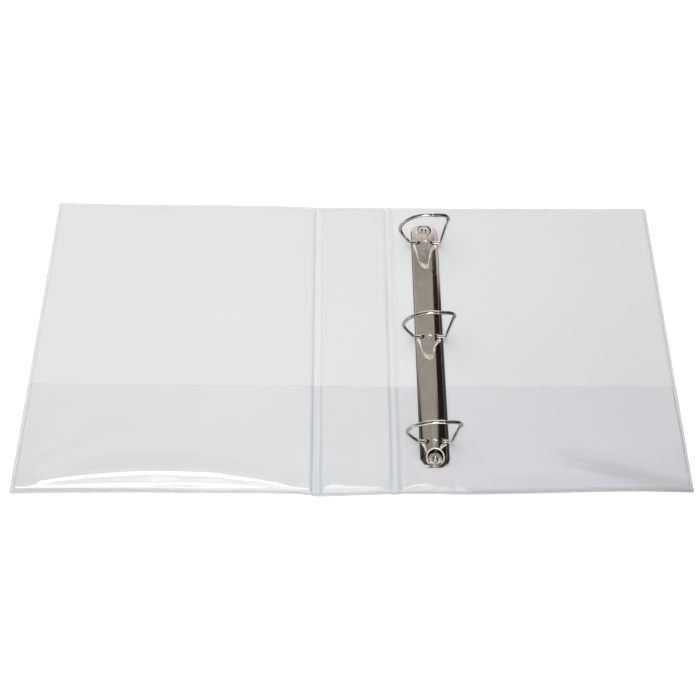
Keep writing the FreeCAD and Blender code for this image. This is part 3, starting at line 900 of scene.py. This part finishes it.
def wire_painted_reflections(tree, position, base):
    """Painted reflections: to glossy rays the ring's outer side glows pale, its inner side dark;
    its left shoulder and right top are painted dark.
    """
    x, _, z = split(position)
    normal_x = split(add(tree, "ShaderNodeNewGeometry", "Normal"))[0]
    glossy_ray = ray_is(tree, "Glossy")
    side = (x - 0.0705) * normal_x
    facing = add(tree, "ShaderNodeLayerWeight", "Facing", Blend=0.5)
    # painted reflection: the outer side glows pale to glossy rays, as the crown mirrors it
    pale = step(facing, 0.12, 0.45) * step(side, -0.024, -0.010)
    # painted dark reflection: the left shoulder and the flat top on the right are darkened where
    # they mirror the dark side of the room
    left = step(x, 0.063, 0.056) * step(z, 0.022, 0.032)
    right = step(x, 0.0752, 0.0766) * step(z, 0.048, 0.053)
    dark = math_node("MAXIMUM", left * 0.50, right * 0.75) * (1.0 - glossy_ray)
    return {"Base_Color": mix_color(dark, base, (0.10, 0.09, 0.085)),
            "Emission_Color": (0.93, 0.90, 0.86),
            "Emission_Strength": pale * glossy_ray * 0.85}


def board_material(name):
    """Grey-brown chipboard: pressed fibre with flecks."""
    material, tree, surface, position = new_material(name)
    fibre = noise(position, scale=700.0, detail=6.0, rough=0.7, distort=2.0)
    fleck = noise(position, scale=1500.0, detail=2.0)
    color = mix_color(ramp(fibre, [(0.3, 0.0), (0.7, 1.0)]), (0.30, 0.25, 0.19),
                      (0.46, 0.41, 0.34))
    color = mix_color(ramp(fleck, [(0.70, 0.0), (0.78, 0.8)]), color, (0.14, 0.12, 0.10))
    plug(surface, add(tree, "ShaderNodeBsdfPrincipled", Roughness=0.9, Base_Color=color,
                      Normal=bump_normal(fibre, strength=0.4, distance=0.0002)))
    return material


VINYL = vinyl_material("white_vinyl", color=(0.737, 0.737, 0.737), drifted=(0.733, 0.736, 0.735),
                       spine=(0.718, 0.738, 0.732), rough=0.42, grain=0.5)
VINYL_OUT = vinyl_material("white_vinyl_outside", color=(0.76, 0.76, 0.755),
                           drifted=(0.75, 0.755, 0.752), spine=(0.75, 0.76, 0.756),
                           rough=0.46, grain=0.7)
POCKET_FILM = film_material("pocket_film", tint=(0.992, 0.992, 1.0),
                            strip_tint=(0.960, 0.975, 1.0), gloss=0.08)
VIEW_FILM = film_material("clear_film", tint=(0.985, 0.987, 0.990),
                          strip_tint=(0.975, 0.980, 0.990), gloss=0.06)
NICKEL_LOOK = dict(color=(0.80, 0.77, 0.73), dull=(0.68, 0.64, 0.59), rough=0.075)
NICKEL = metal_material("nickel_plate", **NICKEL_LOOK)
HOUSING = metal_material("nickel_plate_housing", **NICKEL_LOOK, marks=housing_painted_light)
RIM = metal_material("nickel_plate_rim", color=(0.86, 0.84, 0.80), dull=(0.72, 0.69, 0.64),
                     rough=0.12, drawn_scale=DRAWN_EVENLY, marks=rim_painted_highlight)
WIRE = metal_material("ring_wire", color=(0.83, 0.80, 0.77), dull=(0.68, 0.65, 0.61),
                      rough=0.07, scratch=0.8, drawn_scale=DRAWN_EVENLY, marks=wire_painted_reflections)
STEEL = metal_material("zinc_steel", color=(0.58, 0.58, 0.58), dull=(0.44, 0.44, 0.45),
                       rough=0.28, scratch=1.6)
CHIPBOARD = board_material("chipboard")


def give(ob, material):
    ob.data.materials.clear()
    ob.data.materials.append(material)


# ------------------------------------------------------------------ covers
def attach_sheet(ob, panel):
    """The covers' sheets keep their place; the spine's stay with the spine."""
    if panel == "front":
        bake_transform(ob)
    elif panel == "back":
        fold, reach = FOLD_BACK / 1000.0, 0.00122
        fold - reach
        fold + reach
        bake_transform(ob)
    else:
        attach(ob, "spine")


def build_sheet(panel, layer, top, bottom, material, hole_radius,
                rows=ROWS, shift_rows=None, holes=(LOWER_RIVET, UPPER_RIVET)):
    piece = panel + "_" + layer
    sheet = sheet_mesh(piece + "_sheet", COLUMNS[panel], rows, top, bottom, shift_rows)
    if panel == "back":
        cut_holes(sheet, holes, hole_radius)
    give(sheet, material)
    attach_sheet(sheet, panel)
    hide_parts(piece)


def build_core(panel):
    left, right, low, high = BOARDS[panel]
    core = core_mesh(panel + "_board_core", core_lines(left, right), core_lines(low, high))
    if panel == "back":
        cut_holes(core, (LOWER_RIVET, UPPER_RIVET), RIVET_HOLE_CORE)
    give(core, CHIPBOARD)
    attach(core, LINKS[panel])
    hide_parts(panel + "_board")


for panel in PANELS:
    build_sheet(panel, "inner_vinyl", inner_top, INNER_THICK, VINYL,
                RIVET_HOLE_INNER)
    build_sheet(panel, "outer_vinyl", outer_top, OUTER_THICK, VINYL_OUT,
                RIVET_HOLE_OUTER)
    build_sheet(panel, "view_film", view_top, view_bottom, VIEW_FILM,
                RIVET_HOLE_OUTER)
    build_sheet(panel, "pocket_film", film_top, POCKET_THICK, POCKET_FILM,
                RIVET_HOLE_INNER, rows=POCKET_ROWS, shift_rows=sagging_mouth,
                holes=(LOWER_RIVET,))
    build_core(panel)


# ------------------------------------------------------------------ ring mechanism
def roll_housing_edges():
    bevel = nodes["ring_housing"].modifiers.new("rolled edges", "BEVEL")
    bevel.width = 0.00042
    bevel.segments = 3
    bevel.limit_method = "ANGLE"
    bevel.angle_limit = math.radians(32)
    bevel.harden_normals = False


def dish_lip(angle):
    """Where the dish meets the crown or the sloping end, from the rivet: x, y and height."""
    radius = DISH_LIP_R
    for _ in range(20):
        x, y = radius * math.cos(angle), radius * math.sin(angle)
        crown = CROWN_Z - CROWN_R + math.sqrt(CROWN_R ** 2 - x ** 2)
        end_slope = (CROWN_Z - END_Z) / (HOUSING_HI[1] - END_Y)
        z = min(crown, CROWN_Z - end_slope * (RIVET_Y + y - END_Y))
        radius = DISH_FOOT_R + (DISH_LIP_R - DISH_FOOT_R) / DISH_DEPTH * (z - DISH_FOOT_Z)
    return radius * math.cos(angle), radius * math.sin(angle), z


def build_dish_rim(name, side):
    """A rolled rim round a rivet's dish; side is -1 at the low end, 1 at the high end."""
    stations, around = 160, 12
    sunk, tube_r, thinning, flatness = 0.20, 0.58, 0.40, 0.8
    path = []
    for i in range(stations):
        x, y, z = dish_lip(2 * math.pi * i / stations)
        path.append(Vector((MECH_X + x, side * (RIVET_Y + y), z - sunk)))
    verts, faces = [], []
    for i, point in enumerate(path):
        next_i = (i + 1) % stations
        tangent = (path[next_i] - path[i - 1]).normalized()
        outward = tangent.cross(Vector((0, 0, 1))).normalized()
        upward = outward.cross(tangent).normalized()
        if side < 0:
            outward = -outward
        # thinner towards the housing's end
        tube = tube_r - thinning * smooth((abs(point.y) - RIVET_Y - 1.5) / 4.0)
        for j in range(around):
            angle = 2 * math.pi * j / around
            next_j = (j + 1) % around
            verts.append(tuple(point + outward * (tube * math.cos(angle))
                               + upward * (tube * flatness * math.sin(angle))))
            faces.append([i * around + j, i * around + next_j,
                          next_i * around + next_j, next_i * around + j])
    rim = to_object(name, verts, faces)
    if side < 0:
        rim.data.flip_normals()
    give(rim, RIM)
    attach(rim, "back_cover")


give(nodes["ring_housing"], HOUSING)
give(nodes["housing_rivets"], NICKEL)
roll_housing_edges()
build_dish_rim("lower_dish_rim", -1)
build_dish_rim("upper_dish_rim", 1)
for blade in ("left_blade", "right_blade"):
    give(nodes[blade], STEEL)
for level in ("upper", "middle", "lower"):
    for side in ("left", "right"):
        give(nodes["%s_%s_ring_half" % (level, side)], WIRE)


# ------------------------------------------------------------------ floor, light, camera
def build_floor():
    """A white floor just under the binder, glowing a little so that it stays white."""
    reach, z = 6000, -0.2
    corners = [(-reach, -reach, z), (reach, -reach, z), (reach, reach, z), (-reach, reach, z)]
    floor = to_object("floor", corners, [[0, 1, 2, 3]], False)
    material = bpy.data.materials.new("floor_white")
    tree, surface = empty_tree(material, "ShaderNodeOutputMaterial")
    white = add(tree, "ShaderNodeBsdfDiffuse", Color=(0.93, 0.93, 0.93))
    glow = add(tree, "ShaderNodeEmission", Strength=0.42)
    plug(surface, add_shader(white, glow))
    floor.data.materials.append(material)


def mirrored_room(tree):
    """What shiny faces see by direction: white round the horizon, a dark room above it with a
    pale ceiling towards +Y, and a soft box towards -Y and a little to the left."""
    x, y, z = split(add(tree, "ShaderNodeTexCoord", "Generated"))
    # the ceiling widens towards +Y between two slanting sides
    right_side = (y - 0.32) * 0.95 + 0.395
    left_side = (y - 0.32) * -1.3 - 0.76
    between_sides = (1.0 - step(x - right_side, -0.03, 0.05)) * step(x - left_side, -0.05, 0.04)
    ceiling = band(y, 0.314, 0.322, 0.535, 0.555) * between_sides
    overhead = band(y, -0.30, -0.16, 0.314, 0.322) * band(x, -0.16, -0.06, 0.112, 0.128)
    soft_box = (1.0 - step(y, -0.66, -0.56)) * band(x, -0.26, -0.14, 0.112, 0.130)
    far_wall = step(y, 0.5385, 0.547)
    far_wall_dimmer = step(y, 0.59, 0.66)
    # the horizon is left dark at the near right
    near_right = step(x, 0.112, 0.15) * (1.0 - step(y, -0.2, 0.1))
    horizon = (1.0 - step(z, 0.18, 0.30)) * (1.0 - near_right)
    near_left = (1.0 - step(x, -0.50, -0.15)) * (1.0 - step(y, 0.05, 0.30))
    low_left = (1.0 - step(x, -0.55, -0.30)) * (1.0 - step(y, 0.2, 0.5))

    sky = mix_color(step(y, 0.20, 0.30), (0.055, 0.052, 0.050), (0.014, 0.013, 0.012))
    # each later layer covers the ones before
    for cover, color in ((near_left, (0.12, 0.115, 0.11)),
                         (ceiling, (0.385, 0.350, 0.318)),
                         (ceiling * step(y, 0.497, 0.530), (0.215, 0.190, 0.172)),
                         (overhead, (0.60, 0.58, 0.55)),
                         (far_wall, (1.05, 1.01, 0.98)),
                         (far_wall_dimmer, (0.80, 0.78, 0.75)),
                         (horizon * 0.8, (0.72, 0.71, 0.69)),
                         (low_left * horizon, (0.30, 0.29, 0.28)),
                         (soft_box, (2.3, 2.3, 2.25))):
        sky = mix_color(cover, sky, color)
    return sky


def build_world():
    """Separate surroundings for glossy rays, for soft light and for the camera."""
    world = bpy.data.worlds.new("studio")
    bpy.context.scene.world = world
    tree, surface = empty_tree(world, "ShaderNodeOutputWorld")
    white = (1, 1, 1)
    mirrored = add(tree, "ShaderNodeBackground", Strength=1.0, Color=mirrored_room(tree))
    soft = add(tree, "ShaderNodeBackground", Strength=0.167, Color=white)
    seen = add(tree, "ShaderNodeBackground", Strength=1.05, Color=white)
    lighting = mix_shader(ray_is(tree, "Glossy"), soft, mirrored)
    plug(surface, mix_shader(ray_is(tree, "Camera"), lighting, seen))


def build_light(name, location, diameter, power):
    """A round area light aimed at the origin and not mirrored in anything."""
    light = bpy.data.lights.new(name, "AREA")
    light.shape = "DISK"
    light.size = diameter
    light.energy = power
    ob = bpy.data.objects.new(name, light)
    ob.location = location
    aim = Vector((0, 0, 0)) - Vector(location)
    ob.rotation_euler = aim.to_track_quat("-Z", "Y").to_euler()
    ob.visible_glossy = False
    bpy.context.scene.collection.objects.link(ob)


def build_camera(location, pitch, yaw, roll):
    """Looks towards +Y, pitched down, turned by yaw about Z and rolled about its own axis."""
    camera = bpy.data.cameras.new("camera")
    camera.sensor_width = 36.0
    camera.lens = 45.0
    camera.clip_start = 0.01
    camera.clip_end = 50.0
    ob = bpy.data.objects.new("camera", camera)
    bpy.context.scene.collection.objects.link(ob)
    turn = Matrix.Rotation(yaw, 3, "Z")
    forward = turn @ Vector((0, math.cos(pitch), -math.sin(pitch)))
    level_up = turn @ Vector((0, math.sin(pitch), math.cos(pitch)))
    level_right = turn @ Vector((1, 0, 0))
    right = math.cos(roll) * level_right + math.sin(roll) * level_up
    up = -math.sin(roll) * level_right + math.cos(roll) * level_up
    rotation = Matrix((right, up, -forward)).transposed().to_4x4()
    ob.matrix_world = Matrix.Translation(location) @ rotation
    bpy.context.scene.camera = ob


build_floor()
build_world()
build_light("key", location=(-0.3, 0.3, 1.6), diameter=1.7, power=23.7)
build_light("fill", location=(0.1, -0.9, 1.7), diameter=1.4, power=9.4)
build_camera(location=(-0.022526, -0.379692, 0.771882), pitch=1.12451, yaw=-0.04757,
             roll=0.04679)
bpy.context.scene.view_settings.view_transform = "Standard"
bpy.context.scene.view_settings.look = "None"
